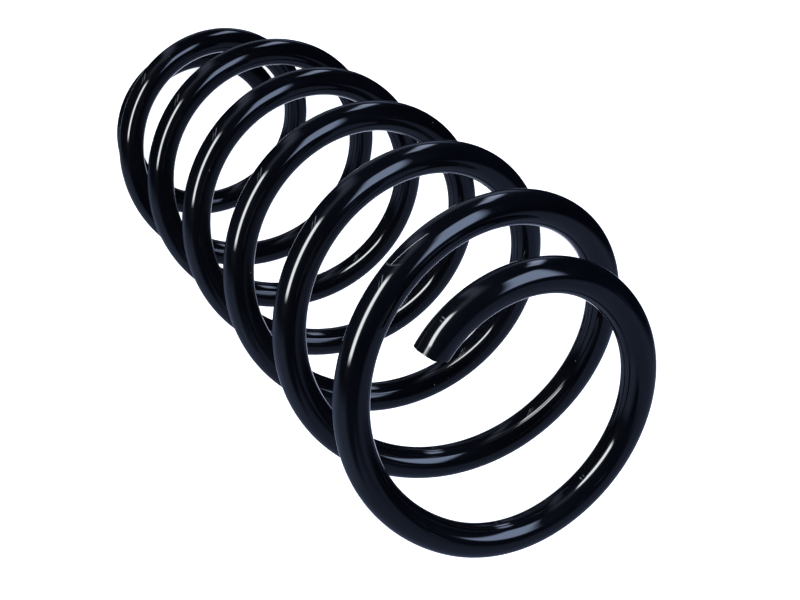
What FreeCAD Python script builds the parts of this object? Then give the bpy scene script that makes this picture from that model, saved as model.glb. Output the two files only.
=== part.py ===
import FreeCAD, Part

import math
import os

# Helical compression spring for a car's suspension, wound right-handed from one round bar of
# spring steel. It stands on its lower end with +Z along the coil axis, and the origin is on that
# axis in the lower seat plane. The lower tip points along +X.
#
# The bar is followed in turns. From each tip inwards it has a flat pigtail coil that lies in the
# spring seat, then a ramp where the coil flares out and lifts off the seat plane. Between the two
# ramps are the active coils, of constant radius and pitch. Each active coil starts and ends in
# the same half-plane through the axis, so that the cut faces slide on each other when the spring
# is squeezed.

FULL_TURN = 360.0
POINTS_PER_TURN = 24
UP = FreeCAD.Vector(0, 0, 1)
ENDS = ("lower", "upper")

# Driving dimensions: lengths in millimetres, stretches of bar in turns, angles in degrees. An end's
# offset is how far, and in which direction from its tip, its coil is wound off the spring's axis.
DIMENSIONS = [
    ("wire_diameter", 13.0),
    ("mean_diameter", 122.0),
    ("active_pitch", 58.0),
    ("active_coils", 5),
    ("lower_end_diameter", 88.0),
    ("lower_end_offset", 8.8),
    ("lower_offset_angle", 186.0),
    ("lower_seat_turns", 0.53),
    ("lower_flare_turns", 1.06),
    ("lower_lift_lag", 0.13),
    ("lower_lift_turns", 0.16),
    ("upper_end_diameter", 91.0),
    ("upper_end_offset", 1.8),
    ("upper_offset_angle", 69.0),
    ("upper_seat_turns", 0.27),
    ("upper_flare_turns", 0.46),
    ("upper_lift_lag", 0.33),
    ("upper_lift_turns", 0.16),
]

doc = FreeCAD.newDocument("coil_spring")
sheet = doc.addObject("Spreadsheet::Sheet", "Dimensions")
for row, (alias, value) in enumerate(DIMENSIONS, start=1):
    sheet.set(f"A{row}", alias)
    sheet.set(f"B{row}", str(value))
    sheet.setAlias(f"B{row}", alias)
doc.recompute()


def size(alias):
    """The value of one driving dimension."""
    return float(getattr(sheet, alias))


def cell(alias):
    """The same dimension, named for an expression."""
    return f"Dimensions.{alias}"


# --- heights and turns, as expressions over the sheet ------------------------------------------

def ramp_turns_text(end):
    """A ramp lasts until both the flare and the lift are complete."""
    lift_end = f"{cell(end + '_lift_lag')} + {cell(end + '_lift_turns')}"
    return f"max({cell(end + '_flare_turns')}; {lift_end})"


def rise_text(end):
    """Height gained over a ramp. The lift builds up evenly, so half of its turns count."""
    level_turns = f"{cell(end + '_lift_lag')} + {cell(end + '_lift_turns')} / 2"
    return f"{cell('active_pitch')} * ({ramp_turns_text(end)} - ({level_turns}))"


def end_turns_text(end):
    return f"({cell(end + '_seat_turns')} + {ramp_turns_text(end)})"


LOWER_CENTRE = f"{cell('wire_diameter')} / 2"
ACTIVE_BASE = f"({LOWER_CENTRE} + {rise_text('lower')})"
ACTIVE_TOP = f"({ACTIVE_BASE} + {cell('active_pitch')} * {cell('active_coils')})"
UPPER_CENTRE = f"({ACTIVE_TOP} + {rise_text('upper')})"
ALL_TURNS = f"({end_turns_text('lower')} + {cell('active_coils')} + {end_turns_text('upper')})"


def turned(height, turns):
    """Placement on the axis at a height, turned about the axis."""
    rotation = f"rotation(vector(0; 0; 1); {FULL_TURN} * {turns})"
    return f"placement(vector(0; 0; {height}); {rotation})"


def flipped(height, turns):
    """The same, with the piece first turned upside down about the line through its tip."""
    rotation = f"rotation(vector(0; 0; 1); {FULL_TURN} * {turns}) * rotation(vector(1; 0; 0); 180)"
    return f"placement(vector(0; 0; {height}); {rotation})"


# An end is modelled from its tip inwards, with the tip on +X and the bar's centre at Z 0.
END_PLACEMENTS = {
    "lower": turned(LOWER_CENTRE, "0"),
    "upper": flipped(UPPER_CENTRE, ALL_TURNS),
}


# --- flat end coils -----------------------------------------------------------------------------

def offset_vector(end):
    """Centre of an end's flat coil, seen from the spring's axis."""
    angle = math.radians(size(f"{end}_offset_angle"))
    return FreeCAD.Vector(math.cos(angle), math.sin(angle), 0) * size(f"{end}_end_offset")


def end_coil(end):
    """The flat pigtail coil: an arc of round bar that starts with the cut tip."""
    coil = doc.addObject("Part::Torus", f"{end}_end_coil")
    coil.setExpression("Radius1", f"{cell(end + '_end_diameter')} / 2")
    coil.setExpression("Radius2", f"{cell('wire_diameter')} / 2")
    coil.setExpression("Angle3", f"{FULL_TURN} * {cell(end + '_seat_turns')}")
    angle = cell(end + "_offset_angle")
    reach = cell(end + "_end_offset")
    centre = f"vector({reach} * cos({angle}); {reach} * sin({angle}); 0)"
    unturned = "rotation(vector(0; 0; 1); 0)"
    coil.setExpression("Placement", f"{END_PLACEMENTS[end]} * placement({centre}; {unturned})")
    return coil


# --- ramps between the end coils and the active coils --------------------------------------------

def smooth_step(part):
    """0 before the step, 1 after it, level at both ends."""
    part = min(max(part, 0.0), 1.0)
    return part * part * (3 - 2 * part)


def smooth_step_sum(part):
    """The area under smooth_step from 0 to part."""
    inside = min(max(part, 0.0), 1.0)
    return inside ** 3 - inside ** 4 / 2 + max(part - 1.0, 0.0)


def radial(turns):
    """Outward direction from the axis after some turns from the tip."""
    angle = 2 * math.pi * turns
    return FreeCAD.Vector(math.cos(angle), math.sin(angle), 0)


def ramp_centre(end, turns):
    """Centre of the bar, some turns after the ramp's start."""
    tip_radius = size(f"{end}_end_diameter") / 2
    flare = smooth_step(turns / size(f"{end}_flare_turns"))
    radius = tip_radius + (size("mean_diameter") / 2 - tip_radius) * flare
    lift_turns = size(f"{end}_lift_turns")
    lift = smooth_step_sum((turns - size(f"{end}_lift_lag")) / lift_turns) * lift_turns
    outwards = radial(size(f"{end}_seat_turns") + turns)
    return outwards * radius + offset_vector(end) * (1 - flare) + UP * size("active_pitch") * lift


def helix_rate(turns, radius, pitch):
    """How a helix's centre moves per turn, some turns from the tip."""
    return UP.cross(radial(turns)) * (2 * math.pi * radius) + UP * pitch


def ramp_coil(end):
    """The bar from the flat end coil to the full radius and pitch of the active coils."""
    seat_turns = size(f"{end}_seat_turns")
    lift_end = size(f"{end}_lift_lag") + size(f"{end}_lift_turns")
    length = max(size(f"{end}_flare_turns"), lift_end)
    count = math.ceil(length * POINTS_PER_TURN)
    turns = [length * step / count for step in range(count + 1)]
    centres = [ramp_centre(end, turn) for turn in turns]
    start = helix_rate(seat_turns, size(f"{end}_end_diameter") / 2, 0)
    finish = helix_rate(seat_turns + length, size("mean_diameter") / 2, size("active_pitch"))
    curve = Part.BSplineCurve()
    curve.interpolate(
        Points=centres, Parameters=turns, InitialTangent=start, FinalTangent=finish, Scale=False
    )
    outline = Part.Circle(centres[0], start, size("wire_diameter") / 2)
    pipe = Part.BRepOffsetAPI.MakePipeShell(Part.Wire([curve.toShape()]))
    pipe.setBiNormalMode(UP)
    pipe.add(Part.Wire([outline.toShape()]))
    pipe.build()
    pipe.makeSolid()
    ramp = doc.addObject("Part::Feature", f"{end}_ramp_coil")
    ramp.Shape = pipe.shape()
    ramp.setExpression("Placement", END_PLACEMENTS[end])
    return ramp


# --- active coils -------------------------------------------------------------------------------

def active_spine():
    """One full turn of the active helix."""
    helix = doc.addObject("Part::Helix", "active_spine")
    helix.setExpression("Pitch", cell("active_pitch"))
    helix.setExpression("Height", cell("active_pitch"))
    helix.setExpression("Radius", f"{cell('mean_diameter')} / 2")
    return helix


def bar_section():
    """The bar's round section, standing in the half-plane where an active coil starts."""
    section = doc.addObject("Part::Circle", "bar_section")
    section.setExpression("Radius", f"{cell('wire_diameter')} / 2")
    section.Placement.Rotation = FreeCAD.Rotation(FreeCAD.Vector(1, 0, 0), 90)
    section.setExpression("Placement.Base.x", f"{cell('mean_diameter')} / 2")
    return section


def active_coil(number, spine, section):
    """One turn of the bar, on top of the coils before it."""
    coil = doc.addObject("Part::Sweep", f"active_coil_{number}")
    coil.Sections = [section]
    coil.Spine = (spine, ["Edge1"])
    coil.Solid = True
    coil.Frenet = True
    height = f"{ACTIVE_BASE} + {cell('active_pitch')} * {number - 1}"
    coil.setExpression("Placement", turned(height, end_turns_text("lower")))
    return coil


# --- the whole spring -----------------------------------------------------------------------------

spine = active_spine()
section = bar_section()
stretches = [make(end) for end in ENDS for make in (end_coil, ramp_coil)]
stretches += [
    active_coil(number, spine, section) for number in range(1, int(size("active_coils")) + 1)
]
doc.recompute()

for obj in doc.Objects:
    if "Invalid" in obj.State or "Error" in obj.State:
        raise RuntimeError(f"{obj.Label} did not recompute: {obj.State}")
for stretch in stretches:
    if stretch.Shape.isNull() or not stretch.Shape.isValid() or len(stretch.Shape.Solids) != 1:
        raise RuntimeError(f"{stretch.Label} is not one valid solid")

os.makedirs("parts", exist_ok=True)
for stretch in stretches:
    stretch.Shape.exportStep(os.path.join("parts", f"{stretch.Label}.step"))
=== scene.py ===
import math
from collections import namedtuple

import bpy
import numpy as np
from mathutils import Matrix, Vector


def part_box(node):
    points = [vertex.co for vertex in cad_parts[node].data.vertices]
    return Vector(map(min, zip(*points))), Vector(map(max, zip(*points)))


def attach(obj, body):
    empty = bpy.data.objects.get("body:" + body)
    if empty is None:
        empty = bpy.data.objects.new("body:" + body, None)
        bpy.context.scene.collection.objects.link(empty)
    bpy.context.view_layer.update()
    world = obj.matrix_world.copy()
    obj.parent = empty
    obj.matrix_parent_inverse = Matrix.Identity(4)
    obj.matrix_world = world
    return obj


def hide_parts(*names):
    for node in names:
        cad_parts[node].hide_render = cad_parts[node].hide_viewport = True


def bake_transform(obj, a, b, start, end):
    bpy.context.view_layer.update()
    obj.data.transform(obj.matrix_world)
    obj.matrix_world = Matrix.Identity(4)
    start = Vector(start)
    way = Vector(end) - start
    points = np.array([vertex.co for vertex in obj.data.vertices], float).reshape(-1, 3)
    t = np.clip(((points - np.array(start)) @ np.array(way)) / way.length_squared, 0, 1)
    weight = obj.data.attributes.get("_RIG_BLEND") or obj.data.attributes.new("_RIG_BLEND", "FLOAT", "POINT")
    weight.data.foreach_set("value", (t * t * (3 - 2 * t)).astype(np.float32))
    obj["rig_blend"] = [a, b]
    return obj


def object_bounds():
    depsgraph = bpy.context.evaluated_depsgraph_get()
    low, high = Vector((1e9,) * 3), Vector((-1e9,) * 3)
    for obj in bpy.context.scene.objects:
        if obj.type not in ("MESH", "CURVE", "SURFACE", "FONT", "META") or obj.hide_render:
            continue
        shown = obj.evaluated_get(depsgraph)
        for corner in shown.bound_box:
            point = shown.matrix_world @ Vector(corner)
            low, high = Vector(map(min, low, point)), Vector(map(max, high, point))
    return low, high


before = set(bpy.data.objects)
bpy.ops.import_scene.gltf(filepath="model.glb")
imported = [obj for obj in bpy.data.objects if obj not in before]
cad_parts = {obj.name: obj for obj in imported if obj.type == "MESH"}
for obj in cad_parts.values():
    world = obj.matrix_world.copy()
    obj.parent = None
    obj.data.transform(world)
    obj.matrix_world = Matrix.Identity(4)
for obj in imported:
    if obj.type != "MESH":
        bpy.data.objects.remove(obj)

# Looks of a coil spring for a car's suspension: one round bar under a black gloss coating, on a
# plain pale studio floor. Each stretch of bar stands for the CAD node of the same name. Lengths
# are in metres. The bar is followed in turns, from the lower tip on +X up to the upper tip.

MM = 0.001
CAD_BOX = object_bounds()


# --- sizes, from the frame ------------------------------------------------------------------------

def box_size(node):
    """Width, depth and height of a CAD node."""
    low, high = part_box(node)
    return high - low


# The CAD meshes are faceted, so these two are rounded to a tenth of a millimetre.
WIRE = round(box_size("lower_end_coil").z, 4)
MEAN_RADIUS = round((box_size("active_coil_1").x - WIRE) / 2, 4)
ACTIVE_COILS = sum(name.startswith("active_coil_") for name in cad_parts)
LOWER_CENTRE = CAD_BOX[0].z + WIRE / 2
UPPER_CENTRE = CAD_BOX[1].z - WIRE / 2
MIDDLE = (CAD_BOX[0] + CAD_BOX[1]) / 2

# How finely the bar is divided, along it and around it.
LENGTH_TABLE_ROWS = 4000
SECTIONS_PER_TURN = 200
TIP_SECTIONS_PER_TURN = 480
AROUND = 64


# --- the bar's route ------------------------------------------------------------------------------

class End:
    """How one end of the bar is wound, from its tip inwards: a flat coil, then a ramp that flares
    out to the active radius and lifts to the active pitch. Stretches are in turns."""

    def __init__(self, radius, offset, offset_angle, seat, flare, lift_lag, lift):
        angle = math.radians(offset_angle)
        self.radius = radius
        self.offset = np.array([math.cos(angle), math.sin(angle), 0.0]) * offset
        self.seat = seat
        self.flare = flare
        self.lift_lag = lift_lag
        self.lift = lift
        self.turns = seat + max(flare, lift_lag + lift)
        self.rise_turns = self.turns - seat - lift_lag - lift / 2


LOWER = End(44 * MM, 8.8 * MM, 186, seat=0.53, flare=1.06, lift_lag=0.13, lift=0.16)
UPPER = End(45.5 * MM, 1.8 * MM, 69, seat=0.27, flare=0.46, lift_lag=0.33, lift=0.16)
ALL_TURNS = LOWER.turns + ACTIVE_COILS + UPPER.turns
RISE_TURNS = LOWER.rise_turns + ACTIVE_COILS + UPPER.rise_turns
PITCH = (UPPER_CENTRE - LOWER_CENTRE) / RISE_TURNS


def smooth_step(part):
    """0 before the step, 1 after it, level at both ends."""
    part = np.clip(part, 0, 1)
    return part * part * (3 - 2 * part)


def smooth_step_sum(part):
    """The area under smooth_step from 0 to part."""
    inside = np.clip(part, 0, 1)
    return inside ** 3 - inside ** 4 / 2 + np.maximum(part - 1, 0)


def end_centre(end, turns):
    """Centre of the bar some turns from an end's tip, with the tip on +X and the seat at Z 0."""
    ramp = turns - end.seat
    flare = smooth_step(ramp / end.flare)
    radius = end.radius + (MEAN_RADIUS - end.radius) * flare
    height = PITCH * end.lift * smooth_step_sum((ramp - end.lift_lag) / end.lift)
    angle = 2 * math.pi * turns
    rest = 1 - flare
    return np.stack([
        radius * np.cos(angle) + end.offset[0] * rest,
        radius * np.sin(angle) + end.offset[1] * rest,
        height,
    ], axis=-1)


def bar_centre(turns):
    """Centre of the bar some turns above the lower tip."""
    turns = np.asarray(turns, float)
    from_below = end_centre(LOWER, turns) + [0, 0, LOWER_CENTRE]
    flip = Matrix.Rotation(2 * math.pi * ALL_TURNS, 3, "Z") @ Matrix.Rotation(math.pi, 3, "X")
    from_above = end_centre(UPPER, ALL_TURNS - turns) @ np.array(flip).T + [0, 0, UPPER_CENTRE]
    in_upper_end = (turns > ALL_TURNS - UPPER.turns)[..., None]
    return np.where(in_upper_end, from_above, from_below)


def bar_frame(turns):
    """The bar's centre, and its directions onwards, outwards and upwards."""
    step = 1e-4
    centre = bar_centre(turns)
    onwards = bar_centre(turns + step) - bar_centre(turns - step)
    onwards /= np.linalg.norm(onwards, axis=-1, keepdims=True)
    angle = 2 * math.pi * turns
    radial = np.stack([np.cos(angle), np.sin(angle), 0 * angle], axis=-1)
    outwards = radial - onwards * (radial * onwards).sum(-1, keepdims=True)
    outwards /= np.linalg.norm(outwards, axis=-1, keepdims=True)
    return centre, onwards, outwards, np.cross(outwards, onwards)


def length_along(turns):
    """Length of bar from the lower tip, read from a fine table of the route."""
    table = np.linspace(0, ALL_TURNS, LENGTH_TABLE_ROWS)
    points = bar_centre(table)
    steps = np.linalg.norm(np.diff(points, axis=0), axis=1)
    return np.interp(turns, table, np.concatenate([[0], np.cumsum(steps)]))


# --- sheared tips ---------------------------------------------------------------------------------

# The torn face's rounded edge, and how far in from the cut the bar's round side begins.
TIP_EDGE = 0.4 * MM
TIP_EDGE_RINGS = 6
TIP_FACE_RINGS = 24
TIP_DEPTH = 2.0 * MM

# How much the shear's blade drew the bar in, over what length, and how far above the outward
# direction it pressed, in degrees.
SQUEEZE = 1.0 * MM
SQUEEZE_REACH = 8 * MM
BLADE_RISE = math.radians(35)

# One loop of points around the bar: the points, their texture places, the share of bare torn
# face, the count of turns, and the normals, which are zero where the mesh is to find its own.
Loop = namedtuple("Loop", "points place torn turns normals")
NO_NORMALS = np.zeros((AROUND, 3))


def around_angles():
    return np.linspace(0, 2 * math.pi, AROUND, endpoint=False)


def shear_relief(across, height):
    """How far a sheared end stands back from the CAD's flat cut, which lies at its mean depth. The
    outer part, where the blade went in, stands proud. Beyond a step the bar tore off further in."""
    side = across / (WIRE / 2)
    rise = height / (WIRE / 2)
    slope = 0.12 * (1 - side)
    step = 1.35 * smooth_step((0.35 - side) / 0.45)
    torn = smooth_step((0.25 - side) / 0.5)
    wave = np.sin(rise * 5.1 + 0.7) + 0.6 * np.sin(rise * 11.3 + side * 6)
    ripple = np.sin(side * 17 + 1.3) * np.sin(rise * 14.2 + 0.4)
    mean_depth = 1.05
    return MM * (slope - mean_depth + step + 0.10 * torn * wave + 0.05 * ripple)


def squeeze(points, place, from_tip, outwards, upwards):
    """Draws points in near a sheared tip, on the outer upper side that the blade pressed on."""
    out_share = math.cos(BLADE_RISE)
    up_share = math.sin(BLADE_RISE)
    blade = outwards * out_share + upwards * up_share
    facing = (place[..., 1] * out_share + place[..., 2] * up_share) / (WIRE / 2)
    near = np.clip(1 - from_tip / SQUEEZE_REACH, 0, 1) ** 2
    return points - blade * (SQUEEZE * near * np.clip(facing, 0, 1))[..., None]


def tip_loop(at_turns, radius, back, torn, inwards):
    """One loop of a sheared tip, back from the torn face's relief by a distance."""
    centre, onwards, outwards, upwards = (value[0] for value in bar_frame(np.array([at_turns])))
    across = radius * np.cos(around_angles())
    height = radius * np.sin(around_angles())
    along = shear_relief(across, height) + back
    points = centre + np.outer(across, outwards) + np.outer(height, upwards)
    points += np.outer(along * inwards, onwards)
    place = np.stack([length_along(at_turns) + along * inwards, across, height], axis=-1)
    points = squeeze(points, place, along, outwards, upwards)
    return Loop(points, place, torn, at_turns, NO_NORMALS)


def tip_loops(at_turns, inwards):
    """Loops from the middle of a sheared tip out to its rounded edge."""
    loops = []
    flat = WIRE / 2 - TIP_EDGE
    for step in range(1, TIP_FACE_RINGS + 1):
        loops.append(tip_loop(at_turns, flat * step / TIP_FACE_RINGS, 0, 1.0, inwards))
    for step in range(1, TIP_EDGE_RINGS + 1):
        angle = math.pi / 2 * step / TIP_EDGE_RINGS
        radius = flat + TIP_EDGE * math.sin(angle)
        back = TIP_EDGE * (1 - math.cos(angle))
        loops.append(tip_loop(at_turns, radius, back, 1 - step / TIP_EDGE_RINGS, inwards))
    return loops


# --- meshes ---------------------------------------------------------------------------------------

def side_loops(start, finish, tip=None):
    """Loops along the bar's round side, drawn in near a sheared tip if there is one."""
    per_turn = SECTIONS_PER_TURN if tip is None else TIP_SECTIONS_PER_TURN
    count = round((finish - start) * per_turn) + 1
    turns = np.linspace(start, finish, count)
    centre, _, outwards, upwards = (value[:, None, :] for value in bar_frame(turns))
    cosine = np.cos(around_angles())[None, :, None]
    sine = np.sin(around_angles())[None, :, None]
    normals = cosine * outwards + sine * upwards
    points = centre + normals * WIRE / 2
    place = np.empty_like(points)
    place[..., 0] = length_along(turns)[:, None]
    place[..., 1] = WIRE / 2 * cosine[..., 0]
    place[..., 2] = WIRE / 2 * sine[..., 0]
    if tip is not None:
        from_tip = abs(place[..., 0] - length_along(tip))
        points = squeeze(points, place, from_tip, outwards, upwards)
        normals[from_tip[:, 0] < SQUEEZE_REACH] = NO_NORMALS
    return [Loop(points[i], place[i], 0.0, turns[i], normals[i]) for i in range(count)]


def bar_stretch(name, start, finish):
    """A closed length of bar between two counts of turns. Its ends are flat cuts hidden against
    the next stretch, or sheared tips at the two ends of the bar."""
    first_tip = start == 0
    last_tip = finish == ALL_TURNS
    tip_turns = TIP_DEPTH / (2 * math.pi * LOWER.radius)
    if first_tip:
        loops = tip_loops(start, 1) + side_loops(start + tip_turns, finish, start)
    elif last_tip:
        loops = side_loops(start, finish - tip_turns, finish) + tip_loops(finish, -1)[::-1]
    else:
        loops = side_loops(start, finish)
    return build_tube(name, loops, first_tip, last_tip)


def build_tube(name, loops, first_tip, last_tip):
    """A closed mesh over loops of points, with smooth sides and sharp flat cuts."""
    points = np.concatenate([loop.points for loop in loops])
    index = np.arange(len(loops) * AROUND).reshape(len(loops), AROUND)
    beside = np.roll(index, -1, axis=1)
    quads = np.stack([index[:-1], index[1:], beside[1:], beside[:-1]], axis=-1).reshape(-1, 4)
    caps = [list(index[0]), list(index[-1][::-1])]
    mesh = bpy.data.meshes.new(name)
    mesh.from_pydata(points.tolist(), [], quads.tolist() + caps)
    mesh.shade_smooth()

    normals = np.concatenate([loop.normals for loop in loops])
    corner_normals = normals[quads.ravel()]
    first_cap = np.tile(flat_normal(points, index[0]) * (not first_tip), (AROUND, 1))
    last_cap = np.tile(-flat_normal(points, index[-1]) * (not last_tip), (AROUND, 1))
    mesh.normals_split_custom_set(np.concatenate([corner_normals, first_cap, last_cap]).tolist())

    place = np.concatenate([loop.place for loop in loops])
    put_attribute(mesh, "bar_position", "FLOAT_VECTOR", place)
    put_attribute(mesh, "torn_face", "FLOAT", np.repeat([loop.torn for loop in loops], AROUND))
    piece = bpy.data.objects.new(name, mesh)
    bpy.context.scene.collection.objects.link(piece)
    return piece, np.repeat([loop.turns for loop in loops], AROUND)


def flat_normal(points, loop):
    """Normal of a flat loop of points."""
    centre = points[loop].mean(axis=0)
    normal = np.cross(points[loop[0]] - centre, points[loop[len(loop) // 4]] - centre)
    return normal / np.linalg.norm(normal)


def put_attribute(mesh, name, kind, values):
    """Stores one value or vector for each point."""
    layer = mesh.attributes.get(name) or mesh.attributes.new(name, kind, "POINT")
    field = "vector" if kind == "FLOAT_VECTOR" else "value"
    layer.data.foreach_set(field, np.asarray(values, np.float32).ravel())


# --- shader nodes ---------------------------------------------------------------------------------

def add_node(tree, kind, inputs=None, **settings):
    """A shader node with its settings, and its inputs set or linked."""
    node = tree.nodes.new(kind)
    for name, value in settings.items():
        setattr(node, name, value)
    for name, value in (inputs or {}).items():
        if isinstance(value, bpy.types.NodeSocket):
            tree.links.new(value, node.inputs[name])
        else:
            node.inputs[name].default_value = value
    return node


def noise(tree, place, scale, detail=2.0):
    """Cloudy noise, with a scale for each direction: along the bar, across it and up."""
    inputs = {"Vector": scaled(tree, place, scale), "Scale": 1.0, "Detail": detail}
    return add_node(tree, "ShaderNodeTexNoise", inputs).outputs["Fac"]


def scaled(tree, vector, scale):
    inputs = {0: vector, 1: scale}
    return add_node(tree, "ShaderNodeVectorMath", inputs, operation="MULTIPLY").outputs[0]


def remap(tree, value, low, high, to_low, to_high):
    """value from low..high to to_low..to_high, held at both ends."""
    inputs = {"Value": value, "From Min": low, "From Max": high,
              "To Min": to_low, "To Max": to_high}
    return add_node(tree, "ShaderNodeMapRange", inputs).outputs["Result"]


def smooth_remap(tree, value, low, high):
    """0 at low and 1 at high, level at both ends."""
    inputs = {"Value": value, "From Min": low, "From Max": high}
    return add_node(tree, "ShaderNodeMapRange", inputs,
                    interpolation_type="SMOOTHSTEP").outputs["Result"]


def band(tree, place, low, high, edge):
    """1 between two places, falling smoothly to 0 over edge on both sides."""
    rise = smooth_remap(tree, place, low - edge, low + edge)
    fall = smooth_remap(tree, place, high + edge, high - edge)
    return product(tree, rise, fall)


def calculate(tree, operation, first, second=0.0):
    return add_node(tree, "ShaderNodeMath", {0: first, 1: second}, operation=operation).outputs[0]


def product(tree, first, second):
    return calculate(tree, "MULTIPLY", first, second)


def mix_colour(tree, factor, first, second):
    """The first colour where factor is 0, the second where it is 1."""
    inputs = {0: factor, 6: first, 7: second}
    return add_node(tree, "ShaderNodeMix", inputs, data_type="RGBA").outputs[2]


# --- material -------------------------------------------------------------------------------------

COATING_DARK = (0.0009, 0.0011, 0.0020, 1)
COATING_LIGHT = (0.0018, 0.0021, 0.0036, 1)
TORN_STEEL = (0.012, 0.0125, 0.014, 1)
SCRATCHED = (0.10, 0.11, 0.13, 1)
DUST = (0.30, 0.31, 0.33, 1)
# Light grey: in full on the long hairline scratch as a painted glint, and in a faint share on the rub as
# real wear.
RUB_AND_PAINTED_GLINT = (0.25, 0.26, 0.28, 1)
PEEL_HEIGHT = 0.005 * MM

# One long hairline scratch, its colour painted as light as the glint it catches: where it ends on
# the bar, how far it reaches, at what angle it starts, how it winds around the bar and how wide it
# is. Angles are in degrees, and the winding in degrees per metre. A faint rub crosses the bar where
# the scratch ends.
HAIRLINE_END = 2.3281
HAIRLINE_REACH = 15.5 * MM
HAIRLINE_ANGLE = 11.0
HAIRLINE_TWIST = 960
HAIRLINE_WIDTH = 1.4
RUB_WIDTH = 0.5 * MM
RUB_BOW = 2.5 * MM
RUB_BOW_ANGLE = 40
RUB_ANGLE = 35
RUB_STRENGTH = 0.12


def dust_mask(tree, place):
    """Sparse specks of dust, a few tenths of a millimetre across."""
    cells = add_node(tree, "ShaderNodeTexVoronoi",
                     {"Vector": scaled(tree, place, (150, 150, 150)), "Scale": 1.0})
    speck = remap(tree, cells.outputs["Distance"], 0.02, 0.045, 1.0, 0.0)
    chance = add_node(tree, "ShaderNodeSeparateColor", {"Color": cells.outputs["Color"]})
    chosen = remap(tree, chance.outputs[0], 0.80, 0.82, 0.0, 1.0)
    return product(tree, speck, chosen)


def scratch_mask(tree, place):
    """Short hairline scratches that run mostly along the bar, in patches."""
    fine = noise(tree, place, (45, 2600, 2600), detail=1.0)
    hair = remap(tree, fine, 0.70, 0.76, 0.0, 1.0)
    patch = remap(tree, noise(tree, place, (22, 70, 70)), 0.52, 0.68, 0.0, 1.0)
    return product(tree, hair, patch)


def hairline_painted_glint_mask(tree, from_end, angle):
    """A long hairline scratch that winds slowly around the bar, painted as light as the glint it catches."""
    drift = product(tree, from_end, HAIRLINE_TWIST)
    off_line = calculate(tree, "SUBTRACT", calculate(tree, "SUBTRACT", angle, drift),
                         HAIRLINE_ANGLE)
    half_width = HAIRLINE_WIDTH / 2
    return product(tree, band(tree, off_line, -half_width, half_width, 0.5),
                   band(tree, from_end, 0.5 * MM, HAIRLINE_REACH, 0.5 * MM))


def rub_mask(tree, from_end, angle):
    """A faint rub that crosses the bar in a bow."""
    part = product(tree, angle, 1 / RUB_BOW_ANGLE)
    bow = product(tree, calculate(tree, "POWER", part, 2.0), RUB_BOW)
    off_bow = calculate(tree, "SUBTRACT", from_end, bow)
    rub = product(tree, band(tree, off_bow, 0, RUB_WIDTH, 0.4 * MM),
                  band(tree, angle, -RUB_ANGLE, RUB_ANGLE, 10))
    return product(tree, rub, RUB_STRENGTH)


def rub_and_painted_glint_mask(tree, place):
    """The long hairline scratch with its painted glint, and the rub, on the last active coil."""
    along, across, height = add_node(tree, "ShaderNodeSeparateXYZ", {"Vector": place}).outputs
    angle = calculate(tree, "DEGREES", calculate(tree, "ARCTAN2", height, across))
    from_end = calculate(tree, "SUBTRACT", HAIRLINE_END, along)
    hairline = hairline_painted_glint_mask(tree, from_end, angle)
    return calculate(tree, "MAXIMUM", hairline, rub_mask(tree, from_end, angle))


def coating_colour(tree, place, torn, cloud, scratches, dust):
    """Cloudy black, with bare steel on the torn faces, lighter scratches, dust and rub, and one hairline
    scratch painted as light as its glint.
    """
    depth = remap(tree, cloud, 0.35, 0.7, 0.0, 1.0)
    colour = mix_colour(tree, depth, COATING_DARK, COATING_LIGHT)
    colour = mix_colour(tree, torn, colour, TORN_STEEL)
    colour = mix_colour(tree, product(tree, scratches, 0.25), colour, SCRATCHED)
    colour = mix_colour(tree, product(tree, dust, 0.8), colour, DUST)
    # Painted glint: the long hairline scratch is coloured as light as the glint it catches; the rub is only
    # faintly lighter.
    return mix_colour(tree, rub_and_painted_glint_mask(tree, place), colour, RUB_AND_PAINTED_GLINT)


def coating_bump(tree, place, torn, scratches, dust):
    """Slight orange peel, grain on the torn faces, raised dust and sunk scratches."""
    peel = noise(tree, place, (260, 420, 420), detail=1.0)
    grain = noise(tree, place, (900, 900, 900), detail=4.0)
    fracture = product(tree, grain, product(tree, torn, 60.0))
    height = calculate(tree, "ADD", peel, fracture)
    height = calculate(tree, "ADD", height, product(tree, dust, 8.0))
    height = calculate(tree, "SUBTRACT", height, product(tree, scratches, 0.8))
    return add_node(tree, "ShaderNodeBump",
                    {"Height": height, "Strength": 1.0, "Distance": PEEL_HEIGHT}).outputs[0]


def coating():
    """Black gloss coating with a blue cast, slight orange peel, hairline scratches, one with a painted
    glint, and dust.
    """
    material = bpy.data.materials.new("coated_bar")
    material.use_nodes = True
    tree = material.node_tree
    tree.nodes.clear()
    place = add_node(tree, "ShaderNodeAttribute", attribute_name="bar_position").outputs["Vector"]
    torn = add_node(tree, "ShaderNodeAttribute", attribute_name="torn_face").outputs["Fac"]
    dust = dust_mask(tree, place)
    scratches = scratch_mask(tree, place)
    cloud = noise(tree, place, (30, 90, 90), detail=4.0)
    haze = remap(tree, cloud, 0.3, 0.75, 0.24, 0.40)
    bump = coating_bump(tree, place, torn, scratches, dust)
    shader = add_node(tree, "ShaderNodeBsdfPrincipled", {
        "Base Color": coating_colour(tree, place, torn, cloud, scratches, dust),
        "Roughness": calculate(tree, "MAXIMUM", haze, product(tree, torn, 0.6)),
        "Normal": bump, "Coat Normal": bump,
        "Metallic": 0.0, "IOR": 1.5, "Specular IOR Level": 0.02,
        "Coat Weight": 1.0, "Coat Roughness": 0.015, "Coat IOR": 1.5,
    })
    output = add_node(tree, "ShaderNodeOutputMaterial")
    tree.links.new(shader.outputs[0], output.inputs["Surface"])
    return material


# --- pieces ---------------------------------------------------------------------------------------

def finish_piece(piece, material):
    piece.data.materials.append(material)
    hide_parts(piece.name[len("bar_"):])


def rigid_stretch(node, start, finish, body, material):
    """A stretch of one of the ends, which moves as a whole."""
    piece, _ = bar_stretch(f"bar_{node}", start, finish)
    finish_piece(piece, material)
    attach(piece, body)


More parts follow.
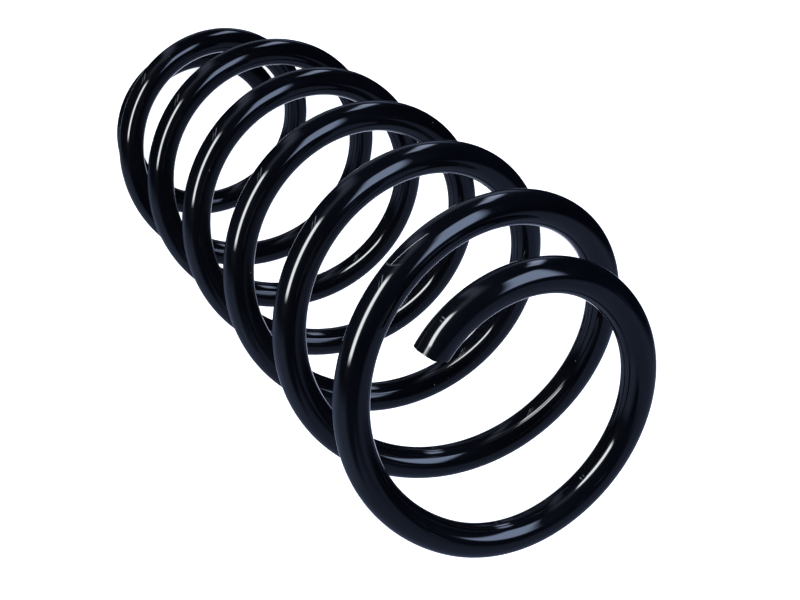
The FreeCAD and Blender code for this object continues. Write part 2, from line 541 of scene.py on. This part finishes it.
def active_stretch(number, material):
    """One active coil. It stretches between the coil below it and the coil above it, so that the
    bar stays whole when the spring is squeezed."""
    node = f"active_coil_{number}"
    start = LOWER.turns + number - 1
    below = "lower_end" if number == 1 else f"coil_{number - 1}"
    above = "upper_end" if number == ACTIVE_COILS else f"coil_{number}"
    piece, turns = bar_stretch(f"bar_{node}", start, start + 1)
    finish_piece(piece, material)
    low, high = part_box(node)
    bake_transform(piece, below, above, start=(0, 0, low.z), end=(0, 0, high.z))
    part = turns - start
    # The first and the last coil also run on smoothly from the rigid ends.
    if number == 1:
        part = part ** 2 * (2 - part)
    elif number == ACTIVE_COILS:
        part = part + part ** 2 * (1 - part)
    put_attribute(piece.data, "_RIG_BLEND", "FLOAT", part)


def build_spring():
    material = coating()
    rigid_stretch("lower_end_coil", 0, LOWER.seat, "lower_end", material)
    rigid_stretch("lower_ramp_coil", LOWER.seat, LOWER.turns, "lower_end", material)
    for number in range(1, ACTIVE_COILS + 1):
        active_stretch(number, material)
    ramp_start = LOWER.turns + ACTIVE_COILS
    seat_start = ALL_TURNS - UPPER.seat
    rigid_stretch("upper_ramp_coil", ramp_start, seat_start, "upper_end", material)
    rigid_stretch("upper_end_coil", seat_start, ALL_TURNS, "upper_end", material)


# --- camera ---------------------------------------------------------------------------------------

CAMERA_AZIMUTH = 108.96
CAMERA_ELEVATION = 53.27
CAMERA_ROLL = 134.2
CAMERA_DISTANCE = 0.6036
CAMERA_AIM = MIDDLE + Vector((0.0050, -0.0632, -0.0005))
CAMERA_LENS = 54.42
CAMERA_SENSOR = 36
CAMERA_SHIFT = (0.0202, 0.0293)
CAMERA_CLIP_START = 0.01


def towards(azimuth, elevation):
    """Direction at an angle from +X about +Z, and above the floor, in degrees."""
    turn = math.radians(azimuth)
    rise = math.radians(elevation)
    return Vector((math.cos(turn) * math.cos(rise), math.sin(turn) * math.cos(rise),
                   math.sin(rise)))


def looking_from(direction, roll):
    """Rotation of a camera or a light that looks in from a direction, rolled by some degrees."""
    level = (-direction).to_track_quat("-Z", "Y")
    return level @ Matrix.Rotation(math.radians(roll), 3, "Z").to_quaternion()


def make_camera():
    """Looks down the standing spring from its upper end, rolled so that the spring lies slantwise
    across the picture."""
    camera = bpy.data.objects.new("camera", bpy.data.cameras.new("camera"))
    bpy.context.scene.collection.objects.link(camera)
    back = towards(CAMERA_AZIMUTH, CAMERA_ELEVATION)
    camera.rotation_mode = "QUATERNION"
    camera.rotation_quaternion = looking_from(back, CAMERA_ROLL)
    camera.location = CAMERA_AIM + back * CAMERA_DISTANCE
    camera.data.lens = CAMERA_LENS
    camera.data.sensor_width = CAMERA_SENSOR
    camera.data.shift_x, camera.data.shift_y = CAMERA_SHIFT
    camera.data.clip_start = CAMERA_CLIP_START
    bpy.context.scene.camera = camera


# --- studio ---------------------------------------------------------------------------------------

LIGHT_AIM = MIDDLE + Vector((-0.006, 0.019, 0.10))
FLOOR_SIZE = 12


def fade_out(tree, place, reach):
    """1 inside, falling smoothly to 0 at both ends of the range 0 to 1."""
    edge = calculate(tree, "MINIMUM", place, calculate(tree, "SUBTRACT", 1.0, place))
    return smooth_remap(tree, edge, 0.0, reach)


def soft_box(name, azimuth, elevation, distance, size, tilt, edge, colour, radiance):
    """A rectangular light that faces the spring, turned in its own plane by tilt degrees. Its
    cloth fades out over a border as wide as edge."""
    data = bpy.data.lights.new(name, "AREA")
    data.shape = "RECTANGLE"
    data.size = size[0] + edge
    data.size_y = size[1] + edge
    data.color = colour
    data.energy = radiance * math.pi * data.size * data.size_y
    data.use_nodes = True
    tree = data.node_tree
    cloth = add_node(tree, "ShaderNodeNewGeometry").outputs["Parametric"]
    parts = add_node(tree, "ShaderNodeSeparateXYZ", {"Vector": cloth}).outputs
    wide = fade_out(tree, parts["X"], min(edge / data.size, 0.5))
    tall = fade_out(tree, parts["Y"], min(edge / data.size_y, 0.5))
    tree.links.new(product(tree, wide, tall), tree.nodes["Emission"].inputs["Strength"])
    light = bpy.data.objects.new(name, data)
    bpy.context.scene.collection.objects.link(light)
    back = towards(azimuth, elevation)
    light.rotation_mode = "QUATERNION"
    light.rotation_quaternion = looking_from(back, tilt)
    light.location = LIGHT_AIM + back * distance
    light.visible_camera = False
    return light


def make_lights():
    soft_box("key_softbox", 127, 18.8, 0.556, size=(0.43, 0.155), tilt=12.4,
             edge=0.08, colour=(0.93, 0.98, 1.0), radiance=20)
    soft_box("top_softbox", 34.6, 50.4, 0.527, size=(0.398, 0.203), tilt=-49.8,
             edge=0.07, colour=(0.55, 0.69, 1.0), radiance=6.0)
    soft_box("side_softbox", 38.2, -14.8, 1.02, size=(0.155, 0.58), tilt=-18.4,
             edge=0.10, colour=(0.60, 0.72, 1.0), radiance=5)
    wash = soft_box("floor_wash", 0, 90, 2.2, size=(3.0, 3.0), tilt=0,
                    edge=0.1, colour=(1.0, 1.0, 1.0), radiance=1.0)
    wash.visible_glossy = False


def pale_floor():
    """A wide plain floor under the spring, pale enough to fade into the white room."""
    bpy.ops.mesh.primitive_plane_add(size=FLOOR_SIZE, location=(0, 0, CAD_BOX[0].z))
    floor = bpy.context.object
    floor.name = "studio_floor"
    material = bpy.data.materials.new("studio_floor")
    material.use_nodes = True
    shader = material.node_tree.nodes["Principled BSDF"]
    shader.inputs["Base Color"].default_value = (0.8, 0.8, 0.8, 1)
    shader.inputs["Roughness"].default_value = 0.9
    shader.inputs["Emission Color"].default_value = (1, 1, 1, 1)
    shader.inputs["Emission Strength"].default_value = 0.96
    floor.data.materials.append(material)
    floor.visible_glossy = False
    floor.visible_shadow = False


# Dim surfaces of the room that the gloss coating shows: azimuth and elevation ranges in degrees,
# how softly each range ends, and the light's colour. Azimuths run on past 180 behind the spring.
ROOM = [
    ("back wall", (213, 318), (-62, 68), (9, 10), (0.15, 0.19, 0.31)),
    ("side wall", (170, 213), (-60, 34), (9, 14), (0.23, 0.30, 0.47)),
    ("curtain", (80, 90), (-55, 4), (4, 10), (0.45, 0.50, 0.70)),
    ("behind the key light", (78, 104), (-2, 22), (7, 7), (0.26, 0.31, 0.40)),
    ("left leg of the stand", (110.6, 111.2), (-32, 2), (0.4, 6), (4.5, 5.0, 6.0)),
    ("right leg of the stand", (113.4, 113.8), (-26, 4), (0.4, 6), (3.5, 4.0, 5.0)),
    ("table", (4, 76), (-78, -44), (10, 7), (0.17, 0.20, 0.28)),
    ("table edge", (10, 32), (-52, -36), (6, 6), (0.16, 0.20, 0.34)),
    ("backdrop", (264, 312), (-82, -36), (10, 8), (0.80, 0.85, 1.00)),
]
ROOM_SHADE = (0.004, 0.006, 0.012)
LEAST_AZIMUTH = -20.0


def room_light(tree):
    """The light of the room by direction, in a shader tree of the world."""
    direction = add_node(tree, "ShaderNodeTexCoord").outputs["Generated"]
    parts = add_node(tree, "ShaderNodeSeparateXYZ", {"Vector": direction}).outputs
    azimuth = calculate(tree, "DEGREES", calculate(tree, "ARCTAN2", parts["Y"], parts["X"]))
    behind = calculate(tree, "LESS_THAN", azimuth, LEAST_AZIMUTH)
    azimuth = calculate(tree, "ADD", azimuth, product(tree, behind, 360.0))
    elevation = calculate(tree, "DEGREES", calculate(tree, "ARCSINE", parts["Z"]))
    total = ROOM_SHADE
    for _, across, up, edges, colour in ROOM:
        share = product(tree, band(tree, azimuth, *across, edges[0]),
                        band(tree, elevation, *up, edges[1]))
        lit = add_node(tree, "ShaderNodeVectorMath", {0: colour, "Scale": share},
                       operation="SCALE").outputs["Vector"]
        total = add_node(tree, "ShaderNodeVectorMath", {0: total, 1: lit}).outputs["Vector"]
    return total


def white_room():
    """A world that is white to look at, and that lights the spring only as dimly as the room."""
    world = bpy.data.worlds.new("white_room")
    world.use_nodes = True
    tree = world.node_tree
    tree.nodes.clear()
    seen = add_node(tree, "ShaderNodeLightPath").outputs["Is Camera Ray"]
    dim = add_node(tree, "ShaderNodeBackground", {"Color": room_light(tree), "Strength": 1.0})
    white = add_node(tree, "ShaderNodeBackground", {"Color": (1, 1, 1, 1), "Strength": 1.0})
    mix = add_node(tree, "ShaderNodeMixShader",
                   {0: seen, 1: dim.outputs[0], 2: white.outputs[0]})
    output = add_node(tree, "ShaderNodeOutputWorld")
    tree.links.new(mix.outputs[0], output.inputs["Surface"])
    bpy.context.scene.world = world


def studio():
    make_lights()
    pale_floor()
    white_room()
    bpy.context.scene.view_settings.view_transform = "Standard"


make_camera()
build_spring()
studio()

bpy.context.view_layer.update()
